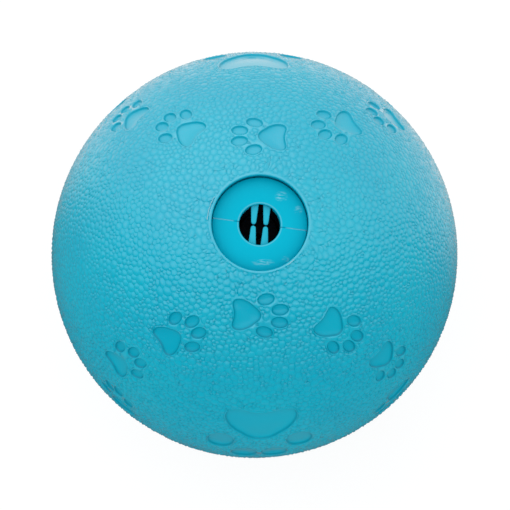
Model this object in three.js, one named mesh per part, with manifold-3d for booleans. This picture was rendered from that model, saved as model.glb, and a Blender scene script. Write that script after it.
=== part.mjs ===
// Squeaky rubber dog ball: a hollow rubber ball engraved with rings of paw prints. A two-part plastic
// housing snaps into its mouth, shows four free tongues behind a round hole, and holds a reed squeaker.
// Millimetres. The origin is the ball's centre, +Z points out of the mouth, and the two halves of the
// housing part on a plane through Z. Air squeezed out of the hollow sounds the reed on its way out.
import * as THREE from "three";
import { mergeVertices } from "three/addons/utils/BufferGeometryUtils.js";
import Module from "manifold-3d";

// Rubber ball
const BALL_DIAMETER = 90;
const WALL = 8;
const MOUTH_DIAMETER = 18.7;
const LIP_THICKNESS = 2.4; // rubber over the housing's rim, at the mouth's edge
const COLLAR_DIAMETER = 27; // thick rubber inside the wall that grips the housing
const COLLAR_LENGTH = 5; // between the housing's face and its lock ring
const COLLAR_CHAMFER = 1.5;

// Paw prints: each ring runs round one large print, and one ring faces away from the mouth
const PRINT_DEPTH = 0.6;
const SMALL_PRINT_WIDTH = 9; // across the outer toes
const LARGE_PRINT_WIDTH = 22.5;
const PRINTS_PER_RING = 11;
const RING_TILT = 65.7; // degrees on the ball from the mouth to a front ring's centre
const BACK_TILT = 176; // the same for the ring at the back
const RING_SPREAD = 41.3; // degrees on the ball from the ring's centre to its prints
const PRINT_HEADINGS = [-2, 6, -19, 5, -12, 7, -16, 4, -10, 5, -15]; // degrees off the ring's line
const PRINT_STRAYS = { 0: 1, 1: -1 }; // degrees outside the ring, for the prints that stray from it
const LARGE_PRINT_STRAY = 1; // degrees on the ball that it lies to the side of the ring's centre

// The shape of a print, as shares of its width: u runs forwards to the toes, v to the side
const SMALL_PRINT = {
  width: SMALL_PRINT_WIDTH,
  pad: { u: -0.28, width: 0.7, length: 0.63 },
  toe: { width: 0.26, length: 0.38 },
  steps: { pad: 2, toe: 3 }, // in each curve of the outline
};
const LARGE_PRINT = {
  width: LARGE_PRINT_WIDTH,
  pad: { u: -0.215, width: 0.64, length: 0.5 },
  toe: { width: 0.245, length: 0.33 },
  steps: { pad: 4, toe: 6 },
};
const PAD_NOTCH = 0.04; // how far the pad's rear edge curves in
const TOES = [
  { u: 0.12, v: 0.37, turn: 14 },
  { u: 0.44, v: 0.145, turn: 5 },
  { u: 0.44, v: -0.145, turn: -5 },
  { u: 0.12, v: -0.37, turn: -14 },
];

// Plastic housing, made in two halves
const FACE_DIAMETER = 23.6; // with the rim that the lip holds down
const FACE_THICKNESS = 2.5;
const FACE_STEP = 0.7; // height of the part of the face that fills the mouth, over the rim
const HOLE_DIAMETER = 8.1;
const BODY_DIAMETER = 20;
const BODY_WALL = 1.6;
const LOCK_DIAMETER = 25.6; // ring that stops the housing from being pulled out
const LOCK_THICKNESS = 1.8;
const SEAT_WALL = 1.5; // on each side of the squeaker's flange
const SEAT_RIM = 2.7; // outside the squeaker's flange
const HOUSING_TURN = -7.5; // degrees about the mouth's axis, as the housing was pressed in
const PIN_DIAMETER = 1.2;
const PIN_LENGTH = 2;

// Tongues across the hole, two on each half
const TONGUE_THICKNESS = 1;
const TONGUE_ROOT_WIDTH = 1.6;
const TONGUE_TIP_WIDTH = 1;
const TONGUE_SPACING = 2.4; // between the middles of neighbours
const TONGUE_TIP_GAP = 0.3; // between facing tips
const TONGUE_DEPTH = 1; // behind the housing's face
const TONGUE_LEAN = 3.5; // degrees that the tongues are turned back from square to the parting plane

// Squeaker
const FLANGE_THICKNESS = 1.5;
const CASE_DIAMETER = 10.6;
const CASE_WALL = 1.1;
const CASE_LENGTH = 14;
const CASE_SHOULDER = 0.8; // ledge inside the case that the reed block sits on
const BLOCK_INSET = 1; // reed block behind the case's front
const BLOCK_LENGTH = 4;
const NOSE_DIAMETER = 4.8; // half-round nose of the reed block
const NOSE_LENGTH = 8;
const CHANNEL_WIDTH = 2;
const CHANNEL_DEPTH = 1.4;
const REED_WIDTH = 3.2;
const REED_THICKNESS = 0.3;
const REED_LENGTH = 7.3;
const CLAMP_LENGTH = 2.2;

// Clearances
const FIT = 0.3; // between pieces that seat on each other
const PARTING_GAP = 0.2; // between the halves of the housing
const OVERCUT = 1; // how far a cutter runs past what it cuts

// Facets
const BALL_STEPS = 7;
const HOLLOW_STEPS = 5;
const ROUND_SIDES = 36;
const SMALL_SIDES = 12;
const TONGUE_STEPS = 4;
const WELD = 1e-4; // vertices nearer than this are one

// Heights along the mouth's axis, from the mouth inwards
const ballRadius = BALL_DIAMETER / 2;
const hollowRadius = ballRadius - WALL;
const mouthRadius = MOUTH_DIAMETER / 2;
const lipTop = Math.sqrt(ballRadius ** 2 - mouthRadius ** 2);
const rimFront = lipTop - LIP_THICKNESS - FIT;
const faceFront = rimFront + FACE_STEP;
const faceBack = faceFront - FACE_THICKNESS;
const collarTop = faceBack - FIT;
const collarEnd = collarTop - COLLAR_LENGTH;
const lockFront = collarEnd - FIT;
const lockBack = lockFront - LOCK_THICKNESS;
const grooveTop = lockFront - SEAT_WALL;
const flangeTop = grooveTop - FIT;
const flangeBottom = flangeTop - FLANGE_THICKNESS;
const grooveBottom = flangeBottom - FIT;
const bodyEnd = grooveBottom - SEAT_WALL;
const caseEnd = flangeTop - CASE_LENGTH;
const blockTop = flangeTop - BLOCK_INSET;
const blockBottom = blockTop - BLOCK_LENGTH;
const noseTip = blockBottom - NOSE_LENGTH;
const clampTop = blockBottom - FIT;
const clampBottom = clampTop - CLAMP_LENGTH;

// Radii and offsets that pieces share
const faceRadius = FACE_DIAMETER / 2;
const plugRadius = mouthRadius - FIT; // the raised part of the face, inside the lip
const bodyRadius = BODY_DIAMETER / 2;
const chamberRadius = bodyRadius - BODY_WALL;
const holeRadius = HOLE_DIAMETER / 2;
const flangeRadius = bodyRadius - SEAT_RIM - FIT;
const caseRadius = CASE_DIAMETER / 2;
const caseBore = caseRadius - CASE_WALL;
const noseRadius = NOSE_DIAMETER / 2;
const tonguePivotHeight = faceFront - TONGUE_DEPTH - TONGUE_THICKNESS / 2;
const slotTop = faceFront - TONGUE_DEPTH + FIT;
const slotHalfWidth = (TONGUE_SPACING + TONGUE_ROOT_WIDTH) / 2 + FIT;
const slotReach = holeRadius + TONGUE_THICKNESS / 2 + FIT;

const wasm = await Module();
wasm.setup();

// A closed geometry as a solid that can be joined and cut
function solid(geometry) {
  const bare = geometry.index ? geometry.toNonIndexed() : geometry;
  bare.deleteAttribute("normal");
  bare.deleteAttribute("uv");
  const merged = mergeVertices(bare, WELD);
  return new wasm.Manifold(
    new wasm.Mesh({
      numProp: 3,
      vertProperties: merged.attributes.position.array,
      triVerts: new Uint32Array(merged.index.array),
    }),
  );
}

// The finished solid as a named mesh
function piece(name, body, material) {
  const { vertProperties, triVerts } = body.getMesh();
  const geometry = new THREE.BufferGeometry();
  geometry.setAttribute("position", new THREE.BufferAttribute(vertProperties, 3));
  geometry.setIndex(new THREE.BufferAttribute(triVerts, 1));
  geometry.computeVertexNormals();
  const mesh = new THREE.Mesh(geometry, material);
  mesh.name = name;
  return mesh;
}

// A profile of [radius, height] points turned about Z, listed anticlockwise with radius to the right
function revolve(profile, sides = ROUND_SIDES) {
  const points = profile.map(([radius, height]) => new THREE.Vector2(radius, height));
  return solid(new THREE.LatheGeometry(points, sides).rotateX(Math.PI / 2));
}

// A plain round bar about Z
function bar(radius, bottom, top, sides = ROUND_SIDES) {
  return revolve([[0, bottom], [radius, bottom], [radius, top], [0, top]], sides);
}

// A block between two corners
function block([x0, y0, z0], [x1, y1, z1]) {
  const box = new THREE.BoxGeometry(x1 - x0, y1 - y0, z1 - z0);
  return solid(box.translate((x0 + x1) / 2, (y0 + y1) / 2, (z0 + z1) / 2));
}

// A round ball of triangles about the origin
function sphere(radius, steps) {
  return solid(new THREE.IcosahedronGeometry(radius, steps));
}

// A flat outline given depth along Z, then set in its place
function prism(outline, bottom, top, place, steps) {
  const options = { depth: top - bottom, bevelEnabled: false, curveSegments: steps };
  const geometry = new THREE.ExtrudeGeometry(outline, options).translate(0, 0, bottom);
  return solid(geometry.applyMatrix4(place));
}

// Paw prints

// The main pad: a rounded triangle with its tip towards the toes and a hollow rear edge
function padOutline({ width, pad }) {
  const half = (pad.width * width) / 2;
  const front = (pad.length * width) / 2;
  const rear = -front;
  const notch = rear + PAD_NOTCH * width;
  const outline = new THREE.Shape();
  outline.moveTo(notch, 0);
  outline.bezierCurveTo(notch, -half * 0.35, rear, -half * 0.45, rear, -half * 0.7);
  outline.bezierCurveTo(rear, -half * 1.15, rear * 0.1, -half * 1.15, front * 0.55, -half * 0.55);
  outline.bezierCurveTo(front * 1.15, -half * 0.2, front * 1.15, half * 0.2, front * 0.55, half * 0.55);
  outline.bezierCurveTo(rear * 0.1, half * 1.15, rear, half * 1.15, rear, half * 0.7);
  outline.bezierCurveTo(rear, half * 0.45, notch, half * 0.35, notch, 0);
  return outline;
}

function toeOutline({ width, toe }) {
  const outline = new THREE.Shape();
  outline.absellipse(0, 0, (toe.length * width) / 2, (toe.width * width) / 2, 0, 2 * Math.PI);
  return outline;
}

// Moves a cutter from the print's middle to a point u, v along the ball's surface, and turns it there
function onSurface(u, v, turn) {
  const distance = Math.hypot(u, v);
  const axis = new THREE.Vector3(-v, u, 0).normalize();
  const slide = new THREE.Matrix4().makeRotationAxis(axis, distance / ballRadius);
  return slide.multiply(new THREE.Matrix4().makeRotationZ(THREE.MathUtils.degToRad(turn)));
}

// One print's pad and toes, cut down to a flat floor at the given height
function printCutter(print, floor, place) {
  const { width, steps } = print;
  const cut = (outline, curveSteps, { u, v, turn }) => {
    const spot = place.clone().multiply(onSurface(u * width, v * width, turn));
    return prism(outline, floor, ballRadius + OVERCUT, spot, curveSteps);
  };
  const pad = cut(padOutline(print), steps.pad, { u: print.pad.u, v: 0, turn: 0 });
  return TOES.reduce((all, toe) => all.add(cut(toeOutline(print), steps.toe, toe)), pad);
}

function smallPrint(place) {
  return printCutter(SMALL_PRINT, ballRadius - PRINT_DEPTH, place);
}

// A large print is wide enough for its floor to follow the ball
function largePrint(place) {
  const floor = sphere(ballRadius - PRINT_DEPTH, BALL_STEPS);
  return printCutter(LARGE_PRINT, hollowRadius, place).subtract(floor);
}

// Turns about X, Z, X and Z that carry a print from the mouth to its place: the ring's tilt, the
// bearing round the ring, the spread from the ring's centre and the print's own heading
function turns(tilt, bearing, spread, heading) {
  const [a, b, c, d] = [tilt, bearing, spread, heading].map(THREE.MathUtils.degToRad);
  return new THREE.Matrix4()
    .makeRotationX(a)
    .multiply(new THREE.Matrix4().makeRotationZ(b))
    .multiply(new THREE.Matrix4().makeRotationX(c))
    .multiply(new THREE.Matrix4().makeRotationZ(d));
}

// One large print, toes away from the mouth, and the small prints that walk clockwise round it.
// A quarter turn back gives the large print its side step, and its heading then turns the toes away
function printRing(halfTurn, tilt) {
  const spin = new THREE.Matrix4().makeRotationZ(THREE.MathUtils.degToRad(halfTurn));
  const place = (...angles) => spin.clone().multiply(turns(-tilt, ...angles));
  let ring = largePrint(place(-90, LARGE_PRINT_STRAY, 180));
  for (let i = 0; i < PRINTS_PER_RING; i += 1) {
    const bearing = (360 * i) / PRINTS_PER_RING;
    const heading = 180 + PRINT_HEADINGS[i % PRINT_HEADINGS.length];
    const spread = RING_SPREAD + (PRINT_STRAYS[i] ?? 0);
    ring = ring.add(smallPrint(place(bearing, spread, heading)));
  }
  return ring;
}

// Rubber ball

// The stepped hole that the housing snaps into: lip, face seat and collar bore
function mouthCutter() {
  return revolve([
    [0, collarEnd - OVERCUT],
    [bodyRadius + FIT, collarEnd - OVERCUT],
    [bodyRadius + FIT, collarTop],
    [faceRadius + FIT, collarTop],
    [faceRadius + FIT, rimFront + FIT],
    [mouthRadius, rimFront + FIT],
    [mouthRadius, ballRadius + OVERCUT],
    [0, ballRadius + OVERCUT],
  ]);
}

function collar() {
  const radius = COLLAR_DIAMETER / 2;
  const midWall = ballRadius - WALL / 2;
  const top = Math.sqrt(midWall ** 2 - radius ** 2);
  return revolve([
    [0, collarEnd],
    [radius - COLLAR_CHAMFER, collarEnd],
    [radius, collarEnd + COLLAR_CHAMFER],
    [radius, top],
    [0, top],
  ]);
}

function ballShell() {
  return sphere(ballRadius, BALL_STEPS)
    .subtract(sphere(hollowRadius, HOLLOW_STEPS))
    .add(collar())
    .subtract(mouthCutter())
    .subtract(printRing(0, RING_TILT))
    .subtract(printRing(180, RING_TILT))
    .subtract(printRing(0, BACK_TILT));
}

// Housing

// Stepped face with its hole, body, lock ring, chamber and the groove for the squeaker's flange
function housingBody() {
  const lockRadius = LOCK_DIAMETER / 2;
  return revolve([
    [caseRadius + FIT, bodyEnd],
    [bodyRadius, bodyEnd],
    [bodyRadius, lockBack],
    [lockRadius, lockBack],
    [lockRadius, lockFront],
    [bodyRadius, lockFront],
    [bodyRadius, faceBack],
    [faceRadius, faceBack],
    [faceRadius, rimFront],
    [plugRadius, rimFront],
    [plugRadius, faceFront],
    [holeRadius, faceFront],
    [holeRadius, faceBack],
    [chamberRadius, faceBack],
    [chamberRadius, lockFront],
    [caseRadius + FIT, lockFront],
    [caseRadius + FIT, grooveTop],
    [flangeRadius + FIT, grooveTop],
    [flangeRadius + FIT, grooveBottom],
    [caseRadius + FIT, grooveBottom],
    [caseRadius + FIT, bodyEnd],
  ]);
}

// Room behind the face for the roots of two tongues, open to the chamber so that they can bend in
function tongueSlot() {
  const slot = block([-slotHalfWidth, 0, faceBack - OVERCUT], [slotHalfWidth, slotReach, slotTop]);
  return slot.rotate([0, 0, TONGUE_LEAN]);
}

// Round bars across the parting plane: two in the face and two in the seat, from bottom to top in Y.
// The seat is measured where a socket ends, because its round wall falls away from the parting plane
function partingBars(radius, bottom, top) {
  const faceMiddle = (holeRadius + plugRadius) / 2;
  const seatOutside = Math.sqrt(bodyRadius ** 2 - (PIN_LENGTH + FIT) ** 2);
  const seatMiddle = (flangeRadius + FIT + seatOutside) / 2;
  const spots = [
    [faceMiddle, (faceFront + faceBack) / 2],
    [seatMiddle, (grooveTop + grooveBottom) / 2],
  ];
  return spots
    .flatMap(([x, z]) => [[x, z], [-x, z]])
    .map(([x, z]) => {
      const upright = new THREE.CylinderGeometry(radius, radius, top - bottom, SMALL_SIDES);
      return solid(upright.translate(x, (top + bottom) / 2, z));
    })
    .reduce((all, one) => all.add(one));
}

// The half of the housing on the +Y side of the parting plane
function housingHalf() {
  const side = faceRadius + LOCK_DIAMETER;
  const keep = block([-side, PARTING_GAP / 2, bodyEnd - OVERCUT], [side, side, faceFront + OVERCUT]);
  return housingBody().intersect(keep).subtract(tongueSlot());
}

// Sockets in the upper half take the pins of the lower one, which are made in the upper half's place
function socketedHalf() {
  return housingHalf().subtract(partingBars(PIN_DIAMETER / 2 + FIT, -OVERCUT, PIN_LENGTH + FIT));
}

function pinnedHalf() {
  const halfTurn = new THREE.Matrix4().makeRotationZ(Math.PI);
  const turned = housingHalf().transform(halfTurn.toArray());
  return turned.add(partingBars(PIN_DIAMETER / 2, -PARTING_GAP / 2 - OVERCUT, PIN_LENGTH));
}

// One tongue of the upper half, about its own middle line: a tapering finger with a round root and tip
function tongue() {
  const tip = TONGUE_TIP_GAP / 2;
  const round = TONGUE_TIP_WIDTH / 2;
  const rootEnd = holeRadius + TONGUE_THICKNESS / 2;
  const plan = new THREE.Shape();
  plan.moveTo(-TONGUE_ROOT_WIDTH / 2, rootEnd);
  plan.lineTo(-round, tip + round);
  plan.absarc(0, tip + round, round, Math.PI, 2 * Math.PI);
  plan.lineTo(TONGUE_ROOT_WIDTH / 2, rootEnd);
  const thick = TONGUE_THICKNESS / 2;
  const flat = new THREE.Matrix4();
  const finger = prism(plan, tonguePivotHeight - thick, tonguePivotHeight + thick, flat, TONGUE_STEPS);
  return finger.intersect(tongueSide(tip, thick));
}

// Side view of a tongue, as wide as the root: straight with both ends round
function tongueSide(tip, thick) {
  const side = new THREE.Shape();
  side.absarc(holeRadius, 0, thick, -Math.PI / 2, Math.PI / 2);
  side.absarc(tip + thick, 0, thick, Math.PI / 2, 1.5 * Math.PI);
  const turn = new THREE.Matrix4().makeBasis(
    new THREE.Vector3(0, 1, 0),
    new THREE.Vector3(0, 0, 1),
    new THREE.Vector3(1, 0, 0),
  );
  turn.setPosition(0, 0, tonguePivotHeight);
  return prism(side, -TONGUE_ROOT_WIDTH, TONGUE_ROOT_WIDTH, turn, TONGUE_STEPS);
}

// Squeaker

// Flanged tube, open at both ends, with a ledge that the reed block sits on
function squeakerCase() {
  const ledge = blockBottom - FIT;
  return revolve([
    [caseBore - CASE_SHOULDER, caseEnd],
    [caseRadius, caseEnd],
    [caseRadius, flangeBottom],
    [flangeRadius, flangeBottom],
    [flangeRadius, flangeTop],
    [caseBore, flangeTop],
    [caseBore, ledge],
    [caseBore - CASE_SHOULDER, ledge],
    [caseBore - CASE_SHOULDER, caseEnd],
  ]);
}

// Plug with a half-round nose; a channel in the nose's flat runs up to a bore through the plug
function reedBlock() {
  const half = block([-noseRadius, -noseRadius, noseTip], [noseRadius, 0, blockTop]);
  const nose = bar(noseRadius, noseTip, blockBottom + OVERCUT, SMALL_SIDES).intersect(half);
  const wayOut = CHANNEL_DEPTH / 2;
  const bore = bar(wayOut, blockBottom - OVERCUT, blockTop + OVERCUT, SMALL_SIDES);
  const channelEnd = noseTip + CHANNEL_WIDTH / 2;
  const channel = block(
    [-CHANNEL_WIDTH / 2, -CHANNEL_DEPTH, channelEnd],
    [CHANNEL_WIDTH / 2, OVERCUT, blockBottom],
  );
  return bar(caseBore - FIT, blockBottom, blockTop)
    .add(nose)
    .subtract(bore.translate([0, -wayOut, 0]))
    .subtract(channel);
}

// Thin strip that lies over the channel and flutters
function reed() {
  const half = REED_WIDTH / 2;
  return block([-half, FIT, clampTop - REED_LENGTH], [half, FIT + REED_THICKNESS, clampTop]);
}

// Half-round wedge that presses the reed's root against the nose
function reedClamp() {
  const flat = FIT + REED_THICKNESS + FIT;
  const half = block([-noseRadius, flat, clampBottom], [noseRadius, noseRadius, clampTop]);
  return bar(noseRadius, clampBottom, clampTop, SMALL_SIDES).intersect(half);
}

// Materials
const rubber = new THREE.MeshStandardMaterial({ color: 0x2fb3cf, roughness: 0.55, metalness: 0 });
const plastic = new THREE.MeshStandardMaterial({ color: 0x0ab4da, roughness: 0.4, metalness: 0 });
const darkPlastic = new THREE.MeshStandardMaterial({ color: 0x16181a, roughness: 0.4, metalness: 0 });
const film = new THREE.MeshStandardMaterial({ color: 0xc9d3d8, roughness: 0.2, metalness: 0 });

// The pair of tongues on one half: the first is the one at lower X, before the pair is turned
function tonguePair(names, halfTurn) {
  const pair = names.map((name, i) => {
    const mesh = piece(name, tongue(), plastic);
    mesh.position.x = (i - 0.5) * TONGUE_SPACING;
    return mesh;
  });
  const group = new THREE.Group().add(...pair);
  group.rotation.z = THREE.MathUtils.degToRad(halfTurn + TONGUE_LEAN);
  return group;
}

function squeaker() {
  return new THREE.Group().add(
    piece("squeaker_case", squeakerCase(), darkPlastic),
    piece("reed_block", reedBlock(), darkPlastic),
    piece("reed", reed(), film),
    piece("reed_clamp", reedClamp(), darkPlastic),
  );
}

function housing() {
  const group = new THREE.Group().add(
    piece("housing_upper_half", socketedHalf(), plastic),
    piece("housing_lower_half", pinnedHalf(), plastic),
    tonguePair(["upper_left_tongue", "upper_right_tongue"], 0),
    tonguePair(["lower_right_tongue", "lower_left_tongue"], 180),
    squeaker(),
  );
  group.rotation.z = THREE.MathUtils.degToRad(HOUSING_TURN);
  return group;
}

const ball = new THREE.Group().add(piece("ball_shell", ballShell(), rubber), housing());

export default ball;
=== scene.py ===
# Looks of a squeaky rubber dog ball: a pebbled rubber skin with engraved paw prints, a plastic housing
# in two halves that fills its mouth, four tongues behind the housing's hole and a dark squeaker.
import math

import bpy
import numpy as np
from mathutils import Matrix, Vector
from mathutils.geometry import delaunay_2d_cdt, tessellate_polygon


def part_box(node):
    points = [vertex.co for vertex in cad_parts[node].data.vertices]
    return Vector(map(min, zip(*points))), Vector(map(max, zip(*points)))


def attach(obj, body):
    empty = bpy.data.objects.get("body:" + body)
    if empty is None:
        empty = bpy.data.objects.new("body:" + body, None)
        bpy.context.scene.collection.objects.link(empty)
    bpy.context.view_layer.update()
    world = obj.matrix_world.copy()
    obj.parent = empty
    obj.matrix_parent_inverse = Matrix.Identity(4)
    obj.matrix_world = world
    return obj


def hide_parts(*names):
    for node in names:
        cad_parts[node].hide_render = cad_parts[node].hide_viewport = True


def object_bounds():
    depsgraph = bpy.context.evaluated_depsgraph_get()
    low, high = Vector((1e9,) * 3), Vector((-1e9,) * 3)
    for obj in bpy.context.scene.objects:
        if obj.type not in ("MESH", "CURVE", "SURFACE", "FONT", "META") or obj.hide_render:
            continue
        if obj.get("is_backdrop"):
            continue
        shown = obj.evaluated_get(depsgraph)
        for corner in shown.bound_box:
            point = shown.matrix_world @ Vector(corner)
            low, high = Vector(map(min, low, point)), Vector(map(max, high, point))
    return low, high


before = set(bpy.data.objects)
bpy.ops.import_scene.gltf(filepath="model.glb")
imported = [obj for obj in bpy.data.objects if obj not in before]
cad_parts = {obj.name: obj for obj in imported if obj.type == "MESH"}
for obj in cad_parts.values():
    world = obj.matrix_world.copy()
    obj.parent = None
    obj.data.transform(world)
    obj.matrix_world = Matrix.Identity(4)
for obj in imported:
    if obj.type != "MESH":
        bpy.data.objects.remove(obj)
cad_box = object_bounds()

MM = 0.001  # lengths are millimetres unless a comment says otherwise, and turns are degrees
SEED = 7

# Photograph
IMAGE_SIZE = 510
BALL_CENTRE_PX = (254.5, 254.8)
BALL_RADIUS_PX = 202.7
CAMERA_DISTANCE = 315.0
CAMERA_DIRECTION = (-0.0244, -0.1415, 0.99)
CAMERA_CLIP = (10.0, 100000.0)
SENSOR = 36.0

# Ball, as on the solids
BALL_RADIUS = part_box("ball_shell")[1].x / MM
MOUTH_RADIUS = 9.35
LIP_TOP = math.sqrt(BALL_RADIUS**2 - MOUTH_RADIUS**2)
WALL = 8.0
LIP_THICKNESS = 2.4
COLLAR_RADIUS = 13.5
COLLAR_LENGTH = 5.0
COLLAR_CHAMFER = 1.5

# Finish of the mouth and the inside
# A hollow paints shade into the rubber's colour and dulls its shine: 0 on open rubber and 1 deep in a
# corner
LIP_ROUND = 0.45
LIP_TURNS = (18, 36, 54, 72, 90)  # along the rounding
LIP_HOLLOWS = (0.0, 0.1, 0.35, 0.7, 1.0)  # at those turns: painted shade that deepens into the mouth
SEAT_CHAMFER = 0.15
MOUTH_BORDER = 0.06  # smooth ring of rubber round the mouth
MOUTH_SIDES = 144
INSIDE_RINGS = 25

# Paw prints, laid out as on the solids
# A pad's middle, width and length, a toe's width and length and its place are shares of the width
SMALL_PRINT = {"width": 9.0, "pad": (-0.28, 0.7, 0.63), "toe": (0.26, 0.38)}
LARGE_PRINT = {"width": 22.5, "pad": (-0.215, 0.64, 0.5), "toe": (0.245, 0.33)}
PAD_NOTCH = 0.04
TOES = ((0.12, 0.37, 14), (0.44, 0.145, 5), (0.44, -0.145, -5), (0.12, -0.37, -14))  # place and turn
TOE_SIDES = 96
RING_TILT = 65.7  # of a front ring's axis from the mouth's
BACK_TILT = 176
RING_SPREAD = 41.3  # of the small prints from their ring's axis
PRINT_HEADINGS = (-2, 6, -19, 5, -12, 7, -16, 4, -10, 5, -15)  # one for each small print of a ring
PRINT_STRAYS = {0: 1, 1: -1}  # small prints that lie off the ring's circle, by their place in the ring
LARGE_PRINT_STRAY = 1  # from its ring's axis

# Engraving
PRINT_EDGE = (  # distance outside the outline, depth there and hollow, which paints shade on the print's walls and floor
    (0.12, 0.0, 0.0),
    (0.03, 0.07, 0.35),
    (-0.07, 0.23, 0.65),
    (-0.18, 0.42, 0.55),
    (-0.34, 0.5, 0.36),
    (-0.7, 0.62, 0.28),
)
PRINT_EDGE_STEP = 0.45
PRINT_EDGE_FEWEST = 12  # points round an outline
PRINT_FLOOR = 0.68
PRINT_FLOOR_STEP = 1.1

# Pebble grain
PEBBLE_PITCH = 1.18
PEBBLE_HEIGHTS = (0.1, 0.17)
PEBBLE_JITTER = 0.4  # in pitches
PEBBLE_RELAXATIONS = 2
PEBBLE_CLEARANCE = 0.3  # from a pebble's middle to a print's outline or the mouth's smooth border
FIXED_RING = 4  # pitches round the mouth in which pebbles aren't relaxed
CREASE_DEPTHS = (0.1, 0.25)
# Hollow of the creases between pebbles: shade painted there, with duller shine
CREASE_HOLLOW = 0.33
RELIEF_AND_SHADE_BY_HEIGHT = ((-0.85, 1.2), (-0.5, 1.45), (-0.1, 0.8))  # height along Y in radii, and the strength there of the grain's depth and of the prints' painted shade

# Thin flash that the mould left round the mouth
FLASHES = ((150, 178, 10.2), (-58, -46, 9.75))  # first and last turn, and radius
FLASH_STEP = 1.5
FLASH_HEIGHTS = (0.08, 0.26)
FLASH_THICKNESS = 0.12
FLASH_TOP = 0.4  # share of the thickness that is left at the top
FLASH_WANDER = 0.08
FLASH_ROOT = 0.15  # how far a fin goes into the rubber
FLASH_CREASE = 40  # least turn of an edge that stays crisp

# Housing, as on the solids
FIT = 0.3
HOUSING_TURN = -7.5
FACE_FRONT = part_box("housing_upper_half")[1].z / MM
FACE_STEP = 0.7
FACE_THICKNESS = 2.5
FACE_RADIUS = 11.8
BODY_RADIUS = 10.0
BODY_WALL = 1.6
LOCK_RADIUS = 12.8
LOCK_THICKNESS = 1.8
SEAT_WALL = 1.5
SEAT_RIM = 2.7
FLANGE_THICKNESS = 1.5
CASE_RADIUS = 5.3
HOLE_RADIUS = 4.05

# Finish of the housing
PLUG_GAP = 0.05  # between the lip and the face, which the soft lip closes on
EDGE_ROUND = 0.15
EDGE_MIDDLE = 0.3  # where the rounding's middle point lies, as a share of it
HOLE_CHAMFER = 0.22
HOLE_SOFT_REACH = 1.5  # of the chamfer's soft edge, in chamfers
HOLE_SOFT_DROP = 0.15  # of that edge where the chamfer starts, in chamfers
PARTING_CHAMFER = 0.13
PARTING_GAP = 0.006
PARTING_OPEN = (1.3, 0.09)  # how far round the hole the parting gapes, and how wide
HALF_SIDES = 72
SLOT_START = 0.5  # of the tongues' slot, from the hole's middle
SLOT_OVERSHOOT = 1.0  # behind the face
HOUSING_CREASE = 32  # least turn of an edge that stays crisp

# Pale marks on the housing's face: painted highlights along the hole's chamfer and the parting, and
# scuffs
HOLE_HIGHLIGHT = (0.05, 0.15)  # distances over which the painted highlight round the hole fades
HOLE_HIGHLIGHT_STRENGTH = 0.45
PARTING_HIGHLIGHT = (0.06, 0.14)  # distances over which the painted highlight along the parting fades
PARTING_HIGHLIGHT_STRENGTH = 0.7
PARTING_HIGHLIGHT_RISE = 0.4  # length over which that line comes up, ending where the parting closes
PARTING_LINE = (1000, 1)  # sizes that make a distance from a spot one from a line along x
SCUFFS = (  # middle and half sizes, along x and y
    (4.2, 5.5, 1.4, 1.2),
    (7.5, 2.8, 0.9, 1.0),
    (0.6, -7.5, 2.4, 0.8),
    (5.0, -6.9, 0.8, 0.7),
)
SCUFF_FADE = (0.4, 1.0)  # in half sizes
SCUFF_STRENGTH = 0.8

# Tongues
TONGUE_THICKNESS = 1.0
TONGUE_ROOT_WIDTH = 1.6
TONGUE_TIP_WIDTH = 1.0
TONGUE_SPACING = 2.4
TONGUE_TIP_GAP = 0.3
TONGUE_DEPTH = 1.0
TONGUE_LEAN = 3.5
TONGUE_EDGE = 0.22
TONGUE_EDGE_MOST = 0.9  # of a section's half width and half thickness
TONGUE_ROOT_END = (  # distance from the root, and shares of the width and thickness there
    (0.0, 0.75, 0.4),
    (0.15, 1.0, 0.85),
)
TONGUE_SHARES = (0.06, 1.0)  # of the way from the root to the tip's rounding, along the taper
TONGUE_SECTIONS = 10
TONGUE_TIP_TURNS = (25, 45, 62, 76, 86)  # round the tip
TONGUE_TIP_THINNING = 0.45
TONGUE_CORNER_TURNS = (0, 30, 60, 90)  # round a section's corner
TONGUE_CREASE = 50  # least turn of an edge that stays crisp

# Heights that pieces share
RIM_FRONT = FACE_FRONT - FACE_STEP
FACE_BACK = FACE_FRONT - FACE_THICKNESS
COLLAR_TOP = FACE_BACK - FIT
COLLAR_END = COLLAR_TOP - COLLAR_LENGTH
LOCK_FRONT = COLLAR_END - FIT
LOCK_BACK = LOCK_FRONT - LOCK_THICKNESS
GROOVE_TOP = LOCK_FRONT - SEAT_WALL
GROOVE_BOTTOM = GROOVE_TOP - FLANGE_THICKNESS - 2 * FIT
BODY_END = GROOVE_BOTTOM - SEAT_WALL
TONGUE_HEIGHT = FACE_FRONT - TONGUE_DEPTH - TONGUE_THICKNESS / 2

# Colours, as linear shares of red, green and blue
RUBBER_COLOURS = ((0.0, 0.45, 0.63), (0.001, 0.48, 0.65))  # of its patches
# Colour that the painted shade in hollows mixes towards
PAINTED_SHADE_COLOUR = (0.0, 0.15, 0.25)
FLASH_COLOURS = ((0.34, 0.66, 0.75), (0.5, 0.76, 0.82))
FACE_COLOURS = ((0.0, 0.46, 0.64), (0.0, 0.48, 0.67))
# Pale colour of the painted highlights along the face's hole and parting, and of its scuffs
HIGHLIGHT_AND_SCUFF_COLOUR = (0.2, 0.62, 0.75)
TONGUE_COLOURS = ((0.02, 0.46, 0.63), (0.03, 0.5, 0.66))
SQUEAKER_COLOUR = (0.002, 0.005, 0.009)
REED_COLOUR = (0.3, 0.33, 0.36)
DUST_GAIN = 2.5  # of a colour where dust lies

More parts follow.
